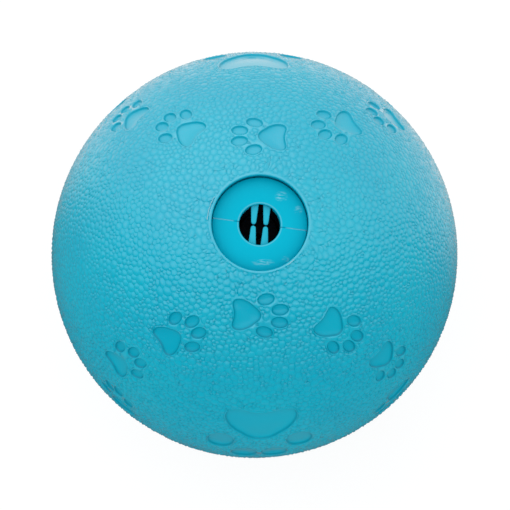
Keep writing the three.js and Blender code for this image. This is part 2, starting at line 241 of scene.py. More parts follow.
# Finishes
NOISE_ROUGHNESS = 0.55
FINE_BUMP = 0.01
SHADE_HOLLOWS = (0.22, 1.0)  # between which shade is painted into the rubber's colour
SHADE_MOST = 0.7
DULL_HOLLOWS = (0.0, 0.45)  # between which its shine falls
RUBBER_SHINES = (0.62, 0.1)  # at those hollows
RUBBER_IOR = 1.6
GRAZING = (0.5, 0.8)  # how far a surface turns away where its shine grows
GRAZING_GAINS = (1.0, 1.6)
COAT_ROUGHNESS = 0.2
RUBBER_ROUGHNESS = (0.14, 0.24)
MOULDED_SPECULAR = 0.05
MOULDED_ROUGHNESS_SPREAD = 0.2
DUSTY_SPECULAR = 0.1
DUSTY_ROUGHNESS_SPREAD = 0.15

# Studio light, in metres
FRONT_DIRECTION = (0, -0.22, 0.975)
FRONT_LEVELS = (0.33, 1.05)  # of the soft light from behind and from the front
KEY_DIRECTION = (-0.3, 0.6, 0.74)
KEY_DISTANCE = 0.5
KEY_SIZE = 0.6
KEY_WATTS = 0.58
TENT_DIRECTION = (0, 0.77, 0.64)  # middle of the light tent that the ball mirrors
TENT_EDGE = (-0.03, 0.24)  # where it fades, as cosines to its middle
TENT_LEVELS = (0.0, 1.0)  # outside and inside the tent
FLOOR_HALF = 3.0
FLOOR_FADE = (-0.01, 0.045)  # where the mirrored floor fades from dark to white, along Y
FLOOR_LEVELS = (0.15, 1.0)
FLOOR_SLANT = -0.3  # how far the fade moves along Y for each metre of X, to the left of the ball only
FLOOR_GREY = 0.75  # for the light that the floor throws back
SHADOW_GREY = 0.2  # for the light that shows on the floor, where a shadow can fall
SHADOW_LIFT = 0.84  # which makes the lit floor white

random = np.random.default_rng(SEED)


# Small tools


def unit(vectors):
    return vectors / np.linalg.norm(vectors, axis=-1, keepdims=True)


def turn_x(degrees):
    return np.array(Matrix.Rotation(math.radians(degrees), 3, "X"))


def turn_z(degrees):
    return np.array(Matrix.Rotation(math.radians(degrees), 3, "Z"))


def circle(radius):
    """Points round the mouth's axis, as many as the mouth has sides."""
    turn = np.linspace(0, 2 * math.pi, MOUTH_SIDES, endpoint=False)
    return np.stack([radius * np.cos(turn), radius * np.sin(turn)], 1)


def new_object(name, data):
    item = bpy.data.objects.new(name, data)
    bpy.context.scene.collection.objects.link(item)
    return item


def make_piece(name, points, faces, material):
    """A smooth mesh object from points in millimetres."""
    mesh = bpy.data.meshes.new(name)
    mesh.from_pydata((np.asarray(points) * MM).tolist(), [], [list(face) for face in faces])
    mesh.validate()
    mesh.materials.append(material)
    mesh.shade_smooth()
    return new_object(name, mesh)


def dress(piece, node, body):
    """Puts a piece in the place of one CAD node."""
    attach(piece, body)
    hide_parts(node)


def mark_sharp(piece, chosen):
    """Keeps the edges crisp whose two ends are both chosen points."""
    mesh = piece.data
    ends = np.zeros(2 * len(mesh.edges), np.int32)
    mesh.edges.foreach_get("vertices", ends)
    attributes = mesh.attributes
    sharp = attributes.get("sharp_edge") or attributes.new("sharp_edge", "BOOLEAN", "EDGE")
    sharp.data.foreach_set("value", chosen[ends.reshape(-1, 2)].all(1))


def smooth_by_angle(piece, degrees):
    """Keeps edges that turn by more than an angle crisp and shades the rest smooth."""
    mesh = piece.data
    mesh.shade_smooth()
    mesh.set_sharp_from_angle(angle=math.radians(degrees))


def side_faces(rings, size):
    """Faces between neighbours among rings of equally many points."""
    faces = []
    for k in range(rings - 1):
        for j in range(size):
            a, b = k * size + j, k * size + (j + 1) % size
            faces.append((a, b, b + size, a + size))
    return faces


def tube_faces(rings, size):
    """Faces of a tube through rings of equally many points, with both ends capped."""
    first_cap = tuple(reversed(range(size)))
    last_cap = tuple(range((rings - 1) * size, rings * size))
    return [*side_faces(rings, size), first_cap, last_cap]


# Materials


class Shading:
    """The node tree of a material or the world, with short ways to add the nodes that these share."""

    def __init__(self, owner):
        owner.use_nodes = True
        self.nodes = owner.node_tree.nodes
        self.links = owner.node_tree.links

    def feed(self, socket, value):
        """Links an input to an output, or sets it to a value."""
        if isinstance(value, bpy.types.NodeSocket):
            self.links.new(value, socket)
        else:
            socket.default_value = value

    def add(self, kind, *values, operation=None, **named):
        """A node with its first inputs fed in order and others by name."""
        node = self.nodes.new(kind)
        if operation:
            node.operation = operation
        for socket, value in zip(node.inputs, values):
            self.feed(socket, value)
        for name, value in named.items():
            self.feed(node.inputs[name.replace("_", " ")], value)
        return node

    def noise(self, scale, detail, stretch=(1, 1, 1)):
        """A noise over the object, with scale in features per metre."""
        place = self.add("ShaderNodeTexCoord").outputs["Object"]
        place = self.add("ShaderNodeMapping", Vector=place, Scale=stretch).outputs["Vector"]
        texture = self.add("ShaderNodeTexNoise", Vector=place, Scale=scale, Detail=detail)
        texture.inputs["Roughness"].default_value = NOISE_ROUGHNESS
        return texture.outputs["Fac"]

    def spread(self, value, source, target):
        """A value carried from one range to another and held inside it."""
        (low, high), (to_low, to_high) = source, target
        remap = self.add("ShaderNodeMapRange", value, low, high, to_low, to_high)
        return remap.outputs["Result"]

    def mix(self, factor, first, second):
        """A mix of two colours, each three shares or an output."""
        node = self.add("ShaderNodeMix", factor)
        node.data_type = "RGBA"
        sockets = [socket for socket in node.inputs if socket.type == "RGBA"]
        for socket, colour in zip(sockets, (first, second)):
            self.feed(socket, (*colour, 1) if isinstance(colour, tuple) else colour)
        return next(socket for socket in node.outputs if socket.type == "RGBA")

    def calculate(self, operation, first, second=0):
        return self.add("ShaderNodeMath", first, second, operation=operation).outputs["Value"]

    def vector_math(self, operation, *vectors):
        return self.add("ShaderNodeVectorMath", *vectors, operation=operation).outputs

    def surface(self, **named):
        """Feeds inputs of the material's own shader by name."""
        for name, value in named.items():
            self.feed(self.nodes["Principled BSDF"].inputs[name.replace("_", " ")], value)

    def fine_bump(self, scale):
        grain = self.noise(scale, detail=2)
        bump = self.add("ShaderNodeBump", Strength=1.0, Distance=FINE_BUMP * MM, Height=grain)
        self.surface(Normal=bump.outputs["Normal"])


def rubber_material():
    """Rubber with shade painted darker where it is hollow, duller there, and shining more at a grazing
    angle.
    """
    material = bpy.data.materials.new("ball_rubber")
    shading = Shading(material)
    attribute = shading.add("ShaderNodeAttribute")
    attribute.attribute_name = "hollow"
    hollow = attribute.outputs["Fac"]
    patches = shading.spread(shading.noise(scale=60, detail=3), (0.35, 0.65), (0, 1))
    # Painted shade in the creases, the prints, the lip and the inside
    shade = shading.spread(hollow, SHADE_HOLLOWS, (0, SHADE_MOST))
    facing = shading.add("ShaderNodeLayerWeight").outputs["Facing"]
    gain = shading.spread(facing, GRAZING, GRAZING_GAINS)
    shine = shading.calculate("MULTIPLY", shading.spread(hollow, DULL_HOLLOWS, RUBBER_SHINES), gain)
    shading.surface(
        Base_Color=shading.mix(shade, shading.mix(patches, *RUBBER_COLOURS), PAINTED_SHADE_COLOUR),
        Roughness=shading.spread(shading.noise(scale=400, detail=4), (0.3, 0.7), RUBBER_ROUGHNESS),
        IOR=RUBBER_IOR,
        Specular_IOR_Level=shine,
        Coat_Weight=shine,
        Coat_Roughness=COAT_ROUGHNESS,
    )
    shading.fine_bump(scale=3200)
    return material


def from_spot(shading, spot, size, turn=0):
    """The distance across the face from a spot, in sizes along x and y."""
    mapping = shading.add(
        "ShaderNodeMapping",
        Vector=shading.add("ShaderNodeTexCoord").outputs["Object"],
        Location=(spot[0] * MM, spot[1] * MM, 0),
        Rotation=(0, 0, math.radians(turn)),
        Scale=(size[0] * MM, size[1] * MM, 1),
    )
    mapping.vector_type = "TEXTURE"
    flat = shading.vector_math("MULTIPLY", mapping.outputs["Vector"], (1, 1, 0))["Vector"]
    return shading.vector_math("LENGTH", flat)["Value"]


def face_highlights_and_scuffs(shading):
    """How pale the face is painted: highlights painted along the hole's chamfer and the parting, and a
    few scuffs.
    """
    from_axis = from_spot(shading, (0, 0), (1, 1))
    past_rim = shading.calculate("SUBTRACT", from_axis, HOLE_RADIUS + HOLE_CHAMFER)
    from_rim = shading.calculate("ABSOLUTE", past_rim)
    paleness = shading.spread(from_rim, HOLE_HIGHLIGHT, (HOLE_HIGHLIGHT_STRENGTH, 0))
    from_parting = from_spot(shading, (0, 0), PARTING_LINE, HOUSING_TURN)
    line = shading.spread(from_parting, PARTING_HIGHLIGHT, (1, 0))
    closed = HOLE_RADIUS + PARTING_OPEN[0]
    rise = (closed - PARTING_HIGHLIGHT_RISE, closed)
    strength = shading.spread(from_axis, rise, (0, PARTING_HIGHLIGHT_STRENGTH))
    paleness = shading.calculate("MAXIMUM", paleness, shading.calculate("MULTIPLY", line, strength))
    grit = shading.spread(shading.noise(scale=1500, detail=4, stretch=(0.5, 2, 1)), (0.45, 0.6), (0, 1))
    for x, y, width, height in SCUFFS:
        from_middle = from_spot(shading, (x, y), (width, height))
        scuff = shading.spread(from_middle, SCUFF_FADE, (SCUFF_STRENGTH, 0))
        paleness = shading.calculate("MAXIMUM", paleness, shading.calculate("MULTIPLY", scuff, grit))
    return paleness


def moulded_material(name, colours, roughness, pale_marks=False):
    """A moulded satin finish with faint flow marks, and where asked the face's scuffs and painted
    highlights.
    """
    material = bpy.data.materials.new(name)
    shading = Shading(material)
    flow = shading.noise(scale=140, detail=3, stretch=(1, 0.3, 1))
    colour = shading.mix(shading.spread(flow, (0.35, 0.7), (0, 1)), *colours)
    if pale_marks:
        # Painted highlights along the hole's chamfer and the parting, and scuffs
        colour = shading.mix(face_highlights_and_scuffs(shading), colour, HIGHLIGHT_AND_SCUFF_COLOUR)
    satin = shading.noise(scale=420, detail=5, stretch=(1, 2.5, 1))
    shading.surface(
        Base_Color=colour,
        Roughness=shading.spread(satin, (0.5, 0.75), (roughness, roughness + MOULDED_ROUGHNESS_SPREAD)),
        Specular_IOR_Level=MOULDED_SPECULAR,
    )
    shading.fine_bump(scale=5000)
    return material


def dusty_material(name, colour, roughness):
    """Moulded plastic or film with faint dust."""
    material = bpy.data.materials.new(name)
    shading = Shading(material)
    specks = shading.noise(scale=900, detail=4)
    dusty = tuple(DUST_GAIN * share for share in colour)
    shading.surface(
        Base_Color=shading.mix(shading.spread(specks, (0.5, 0.8), (0, 0.5)), colour, dusty),
        Roughness=shading.spread(specks, (0.3, 0.7), (roughness, roughness + DUSTY_ROUGHNESS_SPREAD)),
        Specular_IOR_Level=DUSTY_SPECULAR,
    )
    shading.fine_bump(scale=4000)
    return material


# Outlines of a paw print, with x towards the toes and y to the side


def bezier(a, b, c, d, steps=24):
    t = np.linspace(0, 1, steps, endpoint=False)[:, None]
    a, b, c, d = (np.array(p, float) for p in (a, b, c, d))
    return (1 - t) ** 3 * a + 3 * (1 - t) ** 2 * t * b + 3 * (1 - t) * t**2 * c + t**3 * d


def pad_outline(width, length, notch):
    """The main pad: a rounded triangle with its tip towards the toes and a hollow rear edge."""
    half, front, rear = width / 2, length / 2, -length / 2
    dent, lobe = (rear + notch, 0), (rear, -half * 0.7)
    shoulder, other_shoulder = (front * 0.55, -half * 0.55), (front * 0.55, half * 0.55)
    rear_edge = bezier(dent, (rear + notch, -half * 0.35), (rear, -half * 0.45), lobe)
    side = bezier(lobe, (rear, -half * 1.15), (rear * 0.1, -half * 1.15), shoulder)
    tip = bezier(shoulder, (front * 1.15, -half * 0.2), (front * 1.15, half * 0.2), other_shoulder)
    right = np.concatenate([rear_edge, side])
    left = right[:0:-1] * (1, -1)
    return np.concatenate([right, tip, left])


def toe_outline(width, length):
    turn = np.linspace(0, 2 * math.pi, TOE_SIDES, endpoint=False)
    return np.stack([length / 2 * np.cos(turn), width / 2 * np.sin(turn)], 1)


def resample(outline, step, fewest):
    """The closed outline again, with points about one step apart."""
    closed = np.concatenate([outline, outline[:1]])
    travel = np.concatenate([[0], np.cumsum(np.linalg.norm(np.diff(closed, axis=0), axis=1))])
    stops = np.linspace(0, travel[-1], max(fewest, round(travel[-1] / step)), endpoint=False)
    return np.stack([np.interp(stops, travel, closed[:, axis]) for axis in (0, 1)], 1)


def grow(outline, distance):
    """The outline moved outwards along its normals."""
    along = unit(np.roll(outline, -1, 0) - np.roll(outline, 1, 0))
    return outline + distance * np.stack([along[:, 1], -along[:, 0]], 1)


def outside_by(points, outline):
    """Each point's distance outside a closed outline, negative inside it."""
    a, b = outline, np.roll(outline, -1, 0)
    run = b - a
    to_point = points[:, None] - a[None]
    share = np.clip((to_point * run).sum(2) / (run * run).sum(1), 0, 1)
    gap = np.linalg.norm(to_point - share[..., None] * run, axis=2).min(1)
    above = a[None, :, 1] > points[:, None, 1]
    above_next = b[None, :, 1] > points[:, None, 1]
    rise = np.where(run[:, 1] == 0, 1, run[:, 1])
    cross_x = a[:, 0] + (points[:, None, 1] - a[:, 1]) * run[:, 0] / rise
    inside = ((above != above_next) & (points[:, None, 0] < cross_x)).sum(1) % 2 == 1
    return np.where(inside, -gap, gap)


# Where the prints lie on the ball


def slide(u, v):
    """The turn that carries the ball's top to a point u, v away along its surface."""
    distance = math.hypot(u, v)
    return np.array(Matrix.Rotation(distance / BALL_RADIUS, 3, Vector((-v, u, 0))))


def outlines_of_print(print_size, place):
    """The pad's and the toes' outlines, each with the turn that carries it to its place."""
    width = print_size["width"]
    pad_middle, pad_width, pad_length = print_size["pad"]
    pad = pad_outline(pad_width * width, pad_length * width, PAD_NOTCH * width)
    yield pad, place @ slide(pad_middle * width, 0)
    toe_width, toe_length = print_size["toe"]
    toe = toe_outline(toe_width * width, toe_length * width)
    for u, v, turn in TOES:
        yield toe, place @ slide(u * width, v * width) @ turn_z(turn)


def all_outlines():
    """Every engraved outline: rings of small prints round three large ones."""
    for half_turn, tilt in ((0, RING_TILT), (180, RING_TILT), (0, BACK_TILT)):
        ring = turn_z(half_turn) @ turn_x(-tilt)
        place = ring @ turn_z(-90) @ turn_x(LARGE_PRINT_STRAY) @ turn_z(180)
        yield from outlines_of_print(LARGE_PRINT, place)
        for i, heading in enumerate(PRINT_HEADINGS):
            bearing = 360 * i / len(PRINT_HEADINGS)
            out = RING_SPREAD + PRINT_STRAYS.get(i, 0)
            place = ring @ turn_z(bearing) @ turn_x(out) @ turn_z(180 + heading)
            yield from outlines_of_print(SMALL_PRINT, place)


def onto_ball(outline, place):
    """Points of a flat outline as directions from the ball's centre."""
    height = np.sqrt(BALL_RADIUS**2 - (outline**2).sum(1))
    return unit(np.column_stack([outline, height])) @ place.T


# Pebbles


def triangulate(directions, edges=()):
    """Triangles over directions that leave out the mouth at +Z, each pointing outwards."""
    flat = directions[:, :2] / (1 - directions[:, 2:])
    points = [Vector(point) for point in flat]
    whole_hull, nearest = 0, 1e-10
    _, _, faces, origins, _, _ = delaunay_2d_cdt(points, list(edges), [], whole_hull, nearest)
    first_origin = np.array([origin[0] for origin in origins])
    return first_origin[np.array(faces)][:, ::-1]


def beyond(directions, radius):
    """Which directions lie outside a circle round the mouth."""
    from_axis = np.hypot(directions[:, 0], directions[:, 1]) * BALL_RADIUS
    return (from_axis > radius) | (directions[:, 2] < 0)


def pebble_middles():
    """Evenly scattered directions, one for each pebble, jittered and then relaxed."""
    area = PEBBLE_PITCH**2 * math.sqrt(3) / 2
    count = round(4 * math.pi * BALL_RADIUS**2 / area)
    index = np.arange(count) + 0.5
    height = 1 - 2 * index / count
    turn = math.pi * (1 + math.sqrt(5)) * index
    ring = np.sqrt(1 - height**2)
    middles = np.stack([ring * np.cos(turn), ring * np.sin(turn), height], 1)
    middles += random.normal(size=middles.shape) * PEBBLE_JITTER * PEBBLE_PITCH / BALL_RADIUS
    middles = unit(middles)
    middles = middles[beyond(middles, MOUTH_RADIUS + LIP_ROUND + MOUTH_BORDER + PEBBLE_CLEARANCE)]
    for _ in range(PEBBLE_RELAXATIONS):
        middles = relax(middles)
    return middles


def relax(middles):
    """Moves each direction halfway to the mean of its neighbours, except near the mouth."""
    triangles = triangulate(middles)
    total = np.zeros_like(middles)
    count = np.zeros(len(middles))
    for a, b in ((0, 1), (1, 2), (2, 0)):
        np.add.at(total, triangles[:, a], middles[triangles[:, b]])
        np.add.at(count, triangles[:, a], 1)
    free = beyond(middles, MOUTH_RADIUS + FIXED_RING * PEBBLE_PITCH)
    target = np.where(free[:, None], total / count[:, None], middles)
    return unit(middles + target)


def clear_of(directions, outline, place):
    """Which directions lie far enough outside an outline to carry a pebble."""
    local = directions @ place
    reach = np.linalg.norm(outline, axis=1).max() + 2 * PEBBLE_CLEARANCE
    near = (np.hypot(local[:, 0], local[:, 1]) * BALL_RADIUS < reach) & (local[:, 2] > 0)
    clear = np.ones(len(directions), bool)
    clear[near] = outside_by(local[near, :2] * BALL_RADIUS, outline) > PEBBLE_CLEARANCE
    return clear


def relief_and_shade(directions):
    """How deep the grain and how strong the prints' painted shade are at each direction."""
    heights, strengths = zip(*RELIEF_AND_SHADE_BY_HEIGHT)
    return np.interp(directions[:, 1], heights, strengths)


def raise_pebbles(directions, triangles, grain):
    """Gives each grain triangle a crease corner, and joins the corners across the triangles' edges."""
    between = triangles[grain]
    corners = unit(directions[between].mean(1))
    first_corner = len(directions)
    starts = between.ravel()
    ends = np.roll(between, -1, 1).ravel()
    own = np.repeat(np.arange(len(between)), 3) + first_corner
    key = starts.astype(np.int64) * first_corner + ends
    back = ends.astype(np.int64) * first_corner + starts
    order = np.argsort(key)
    spot = np.clip(np.searchsorted(key[order], back), 0, len(key) - 1)
    twin = order[spot]
    paired = key[twin] == back
    fans = np.stack([starts, own[twin], own], 1)[paired]
    rims = np.stack([starts, ends, own], 1)[~paired]
    return corners, np.concatenate([triangles[~grain], fans, rims])


# Rubber skin


class Skin:
    """The outer surface's points: directions, depths below the ball, hollows and runs of edges."""

    def __init__(self):
        self.directions = []
        self.depths = []
        self.hollows = []
        self.borders = []
        self.edges = []
        self.count = 0

    def add(self, directions, depth, hollow=0.0, border=False):
        """Adds points and returns the first one's index; the grain joins only border points."""
        first = self.count
        self.directions.append(directions)
        self.depths.append(np.broadcast_to(depth, len(directions)))
        self.hollows.append(np.broadcast_to(hollow, len(directions)))
        self.borders.append(np.broadcast_to(border, len(directions)))
        self.count += len(directions)
        return first

    def add_ring(self, directions, depth, hollow=0.0, border=False):
        """Adds points that a closed run of edges joins."""
        first = self.add(directions, depth, hollow, border)
        last = self.count - 1
        self.edges += [(i, i + 1) for i in range(first, last)] + [(last, first)]
        return first


def floor_points(outline):
    """A loose grid of points on the floor inside an outline."""
    low, high = outline.min(0), outline.max(0)
    grid = np.mgrid[low[0]:high[0]:PRINT_FLOOR_STEP, low[1]:high[1]:PRINT_FLOOR_STEP].reshape(2, -1).T
    return grid[outside_by(grid, outline) < PRINT_EDGE[-1][0] - PRINT_FLOOR_STEP / 2]


def add_print(skin, outline, place):
    """The rings of one engraved outline, from its rim to its floor."""
    line = resample(outline, PRINT_EDGE_STEP, PRINT_EDGE_FEWEST)
    for step, (distance, depth, hollow) in enumerate(PRINT_EDGE):
        ring = onto_ball(grow(line, distance), place)
        # A print's hollows paint shade on its walls and floor, more strongly towards -Y
        skin.add_ring(ring, depth, hollow * relief_and_shade(ring), border=step == 0)
    floor = onto_ball(floor_points(outline), place)
    skin.add(floor, PRINT_FLOOR, PRINT_EDGE[-1][2] * relief_and_shade(floor))


def skin_points():
    """The skin before its creases, the number of pebbles, which come first, and the mouth's ring."""
    skin = Skin()
    middles = pebble_middles()
    outlines = list(all_outlines())
    for outline, place in outlines:
        middles = middles[clear_of(middles, outline, place)]
    heights = random.uniform(*PEBBLE_HEIGHTS, len(middles)) * relief_and_shade(middles)
    skin.add(middles, -heights, border=True)
    for outline, place in outlines:
        add_print(skin, outline, place)
    up = np.eye(3)
    skin.add_ring(onto_ball(circle(MOUTH_RADIUS + LIP_ROUND + MOUTH_BORDER), up), 0, border=True)
    mouth = skin.add_ring(onto_ball(circle(MOUTH_RADIUS + LIP_ROUND), up), 0)
    return skin, len(middles), mouth


def outer_skin():
    """Points, triangles and hollows of the pebbled outside, its first crease and the mouth's ring."""
    skin, pebbles, mouth = skin_points()
    directions = np.concatenate(skin.directions)
    triangles = triangulate(directions, skin.edges)
    grain = np.concatenate(skin.borders)[triangles].all(1) & (triangles < pebbles).any(1)
    corners, triangles = raise_pebbles(directions, triangles, grain)
    directions = np.concatenate([directions, corners])
    creases = random.uniform(*CREASE_DEPTHS, len(corners)) * relief_and_shade(corners)
    depths = np.concatenate([*skin.depths, creases])
    hollows = np.concatenate([*skin.hollows, np.full(len(corners), CREASE_HOLLOW)])
    return directions * (BALL_RADIUS - depths)[:, None], triangles, hollows, skin.count, mouth


def inner_profile():
    """Radius and height from the mouth's rounding, by the seat and collar, to the hollow's far end."""
    inside = BALL_RADIUS - WALL
    lip = []
    for turn in np.radians(LIP_TURNS):
        radius = MOUTH_RADIUS + LIP_ROUND * (1 - math.sin(turn))
        lip.append((radius, math.sqrt(BALL_RADIUS**2 - radius**2) - LIP_ROUND * (1 - math.cos(turn))))
    seat_top = LIP_TOP - LIP_THICKNESS
    steps = [
        (MOUTH_RADIUS, seat_top + SEAT_CHAMFER),
        (MOUTH_RADIUS + SEAT_CHAMFER, seat_top),
        (FACE_RADIUS + FIT, seat_top),
        (FACE_RADIUS + FIT, COLLAR_TOP),
        (BODY_RADIUS + FIT, COLLAR_TOP),
        (BODY_RADIUS + FIT, COLLAR_END),
        (COLLAR_RADIUS - COLLAR_CHAMFER, COLLAR_END),
        (COLLAR_RADIUS, COLLAR_END + COLLAR_CHAMFER),
    ]
    start = math.asin(COLLAR_RADIUS / inside)
    turns = np.linspace(start, math.pi, INSIDE_RINGS, endpoint=False)
    return lip + steps + [(inside * math.sin(turn), inside * math.cos(turn)) for turn in turns]


def lining(mouth, count):
    """Points and faces of the inside, from the mouth's ring on, with points numbered from count."""
    rings = [np.arange(mouth, mouth + MOUTH_SIDES)]
    points = []
    for radius, height in inner_profile():
        points.append(np.column_stack([circle(radius), np.full(MOUTH_SIDES, height)]))
        rings.append(np.arange(count, count + MOUTH_SIDES))
        count += MOUTH_SIDES
    faces = []
    for outer, inner in zip(rings, rings[1:]):
        faces += np.stack([outer, np.roll(outer, -1), np.roll(inner, -1), inner], 1).tolist()
    points.append(np.array([[0, 0, WALL - BALL_RADIUS]]))
    last = rings[-1]
    faces += [(a, b, count) for a, b in zip(last.tolist(), np.roll(last, -1).tolist())]
    return np.concatenate(points), faces


def ball_skin(material):
    """The whole rubber shell: pebbled outside, lip, housing seat, collar and hollow."""
    outside, triangles, hollows, first_crease, mouth = outer_skin()
    inside, faces = lining(mouth, len(outside))
    points = np.concatenate([outside, inside])
    piece = make_piece("ball_skin", points, triangles.tolist() + faces, material)
    lip = np.repeat(LIP_HOLLOWS, MOUTH_SIDES)
    # The mouth's inner wall, the seat and the inside count as fully hollow and get the darkest painted
    # shade
    hollows = np.concatenate([hollows, lip, np.ones(len(inside) - len(lip))])
    piece.data.attributes.new("hollow", "FLOAT", "POINT").data.foreach_set("value", hollows)
    crease = np.zeros(len(points), bool)
    crease[first_crease : len(outside)] = True
    mark_sharp(piece, crease)
    dress(piece, "ball_shell", "ball")


def lip_flash(material):
    """Low torn fins of rubber round the mouth."""
    base = FLASH_THICKNESS / 2
    top = FLASH_TOP * base
    for number, (start, end, radius) in enumerate(FLASHES, 1):
        turns = np.radians(np.arange(start, end, FLASH_STEP))
        heights = random.uniform(*FLASH_HEIGHTS, len(turns))
        middles = radius + random.uniform(-FLASH_WANDER, FLASH_WANDER, len(turns))
        points = []
        for turn, height, middle in zip(turns, heights, middles):
            surface = math.sqrt(BALL_RADIUS**2 - middle**2)
            section = ((-base, -FLASH_ROOT), (base, -FLASH_ROOT), (top, height), (-top, height))
            for side, rise in section:
                reach = middle + side
                points.append((reach * math.cos(turn), reach * math.sin(turn), surface + rise))
        faces = tube_faces(len(turns), len(section))
        piece = make_piece(f"lip_flash_{number}", points, faces, material)
        smooth_by_angle(piece, FLASH_CREASE)
        dress(piece, "ball_shell", "ball")


# Housing


def housing_profile():
    """Radius and height round the housing's section, anticlockwise, with its visible edges broken."""
    plug = MOUTH_RADIUS - PLUG_GAP
    chamber = BODY_RADIUS - BODY_WALL
    bore = CASE_RADIUS + FIT
    groove = BODY_RADIUS - SEAT_RIM
    return np.array([
        (bore, BODY_END),
        (BODY_RADIUS, BODY_END),
        (BODY_RADIUS, LOCK_BACK),
        (LOCK_RADIUS, LOCK_BACK),
        (LOCK_RADIUS, LOCK_FRONT),
        (BODY_RADIUS, LOCK_FRONT),
        (BODY_RADIUS, FACE_BACK),
        (FACE_RADIUS, FACE_BACK),
        (FACE_RADIUS, RIM_FRONT),
        (plug, RIM_FRONT),
        (plug, FACE_FRONT - EDGE_ROUND),
        (plug - EDGE_MIDDLE * EDGE_ROUND, FACE_FRONT - EDGE_MIDDLE * EDGE_ROUND),
        (plug - EDGE_ROUND, FACE_FRONT),
        (HOLE_RADIUS + PARTING_OPEN[0], FACE_FRONT),
        (HOLE_RADIUS + HOLE_SOFT_REACH * HOLE_CHAMFER, FACE_FRONT),
        (HOLE_RADIUS + HOLE_CHAMFER, FACE_FRONT - HOLE_SOFT_DROP * HOLE_CHAMFER),
        (HOLE_RADIUS, FACE_FRONT - HOLE_CHAMFER),
        (HOLE_RADIUS, FACE_BACK),
        (chamber, FACE_BACK),
        (chamber, LOCK_FRONT),
        (bore, LOCK_FRONT),
        (bore, GROOVE_TOP),
        (groove, GROOVE_TOP),
        (groove, GROOVE_BOTTOM),
        (bore, GROOVE_BOTTOM),
    ])


def half_gap(radius):
    """Half the parting gap at a radius, which is widest at the hole."""
    reach, widest = PARTING_OPEN
    return np.interp(radius, (HOLE_RADIUS, HOLE_RADIUS + reach), (widest, PARTING_GAP)) / 2


def half_columns(profile):
    """Copies of the profile turned from one parting face to the other, on the +Y side."""
    inset = grow(profile, -PARTING_CHAMFER)
    columns = []
    for side in (1, -1):
        for section, back in ((inset, 0), (profile, PARTING_CHAMFER)):
            y = half_gap(section[:, 0]) + back
            x = side * np.sqrt(section[:, 0] ** 2 - y**2)
            columns.append(np.column_stack([x, y, section[:, 1]]))
    right_face, right, left_face, left = columns
    start = np.arctan2(right[:, 1], right[:, 0])
    end = np.arctan2(left[:, 1], left[:, 0])
    radius, height = profile.T
    turned = []
    for share in np.linspace(0, 1, HALF_SIDES + 1):
        turn = start + (end - start) * share
        turned.append(np.column_stack([radius * np.cos(turn), radius * np.sin(turn), height]))
    return [right_face, *turned, left_face]


def housing_half(name, turn, material):
    """One half of the housing, with room behind its face for the roots of two tongues."""
    profile = housing_profile()
    columns = half_columns(profile)
    cap = tessellate_polygon([[Vector((radius, height, 0)) for radius, height in profile]])
    last = (len(columns) - 1) * len(profile)
    faces = side_faces(len(columns), len(profile))
    faces += [tuple(reversed(triangle)) for triangle in cap]
    faces += [tuple(last + i for i in triangle) for triangle in cap]
    points = np.concatenate(columns) @ turn_z(HOUSING_TURN + turn).T
    piece = make_piece(name + "_skin", points, faces, material)
    cut_slot(piece, turn)
    dress(piece, name, "ball")


def cut_slot(piece, turn):
    """Cuts the tongues' slot out of a half, from the hole outwards behind the face."""
    half_width = (TONGUE_SPACING + TONGUE_ROOT_WIDTH) / 2 + FIT
    reach = HOLE_RADIUS + TONGUE_THICKNESS / 2 + FIT
    top = FACE_FRONT - TONGUE_DEPTH + FIT
    bottom = FACE_BACK - SLOT_OVERSHOOT
    sides, ends, levels = (-half_width, half_width), (SLOT_START, reach), (bottom, top)
    corners = [(x, y, z) for x in sides for y in ends for z in levels]
    faces = [(0, 1, 3, 2), (4, 6, 7, 5), (0, 4, 5, 1), (2, 3, 7, 6), (0, 2, 6, 4), (1, 5, 7, 3)]
    points = np.array(corners) @ turn_z(HOUSING_TURN + TONGUE_LEAN + turn).T
    cutter = make_piece("slot_cutter", points, faces, piece.data.materials[0])
    cut = piece.modifiers.new("slot", "BOOLEAN")
    cut.operation = "DIFFERENCE"
    cut.solver = "EXACT"
    cut.object = cutter
    bpy.context.view_layer.update()
    evaluated = piece.evaluated_get(bpy.context.evaluated_depsgraph_get())
    mesh = bpy.data.meshes.new_from_object(evaluated)
    piece.modifiers.clear()
    piece.data = mesh
    bpy.data.objects.remove(cutter)
    smooth_by_angle(piece, HOUSING_CREASE)


# Tongues


def tongue_sections():
    """Distance from the hole's middle, half width and half thickness along a tongue, root to tip."""
    tip = TONGUE_TIP_GAP / 2
    root = HOLE_RADIUS + TONGUE_THICKNESS / 2
    half_root, half_tip = TONGUE_ROOT_WIDTH / 2, TONGUE_TIP_WIDTH / 2
    thick = TONGUE_THICKNESS / 2
    sections = [(root - way, width * half_root, depth * thick) for way, width, depth in TONGUE_ROOT_END]
    for share in np.linspace(*TONGUE_SHARES, TONGUE_SECTIONS):
        y = root - share * (root - tip - half_tip)
        sections.append((y, half_root + (half_tip - half_root) * share, thick))
    for turn in np.radians(TONGUE_TIP_TURNS):
        y = tip + half_tip * (1 - math.sin(turn))
        thinned = thick * (1 - TONGUE_TIP_THINNING * (1 - math.cos(turn)))
        sections.append((y, half_tip * math.cos(turn), thinned))
    return sections


def rounded_section(half_width, half_height):
    """A rectangle's outline with round corners, as x and z points."""
    edge = min(TONGUE_EDGE, TONGUE_EDGE_MOST * half_width, TONGUE_EDGE_MOST * half_height)
    points = []
    for x_side, z_side, start in ((1, 1, 0), (-1, 1, 90), (-1, -1, 180), (1, -1, 270)):
        for turn in np.radians(start + np.array(TONGUE_CORNER_TURNS)):
            x = x_side * (half_width - edge) + edge * math.cos(turn)
            z = z_side * (half_height - edge) + edge * math.sin(turn)
            points.append((x, z))
    return points


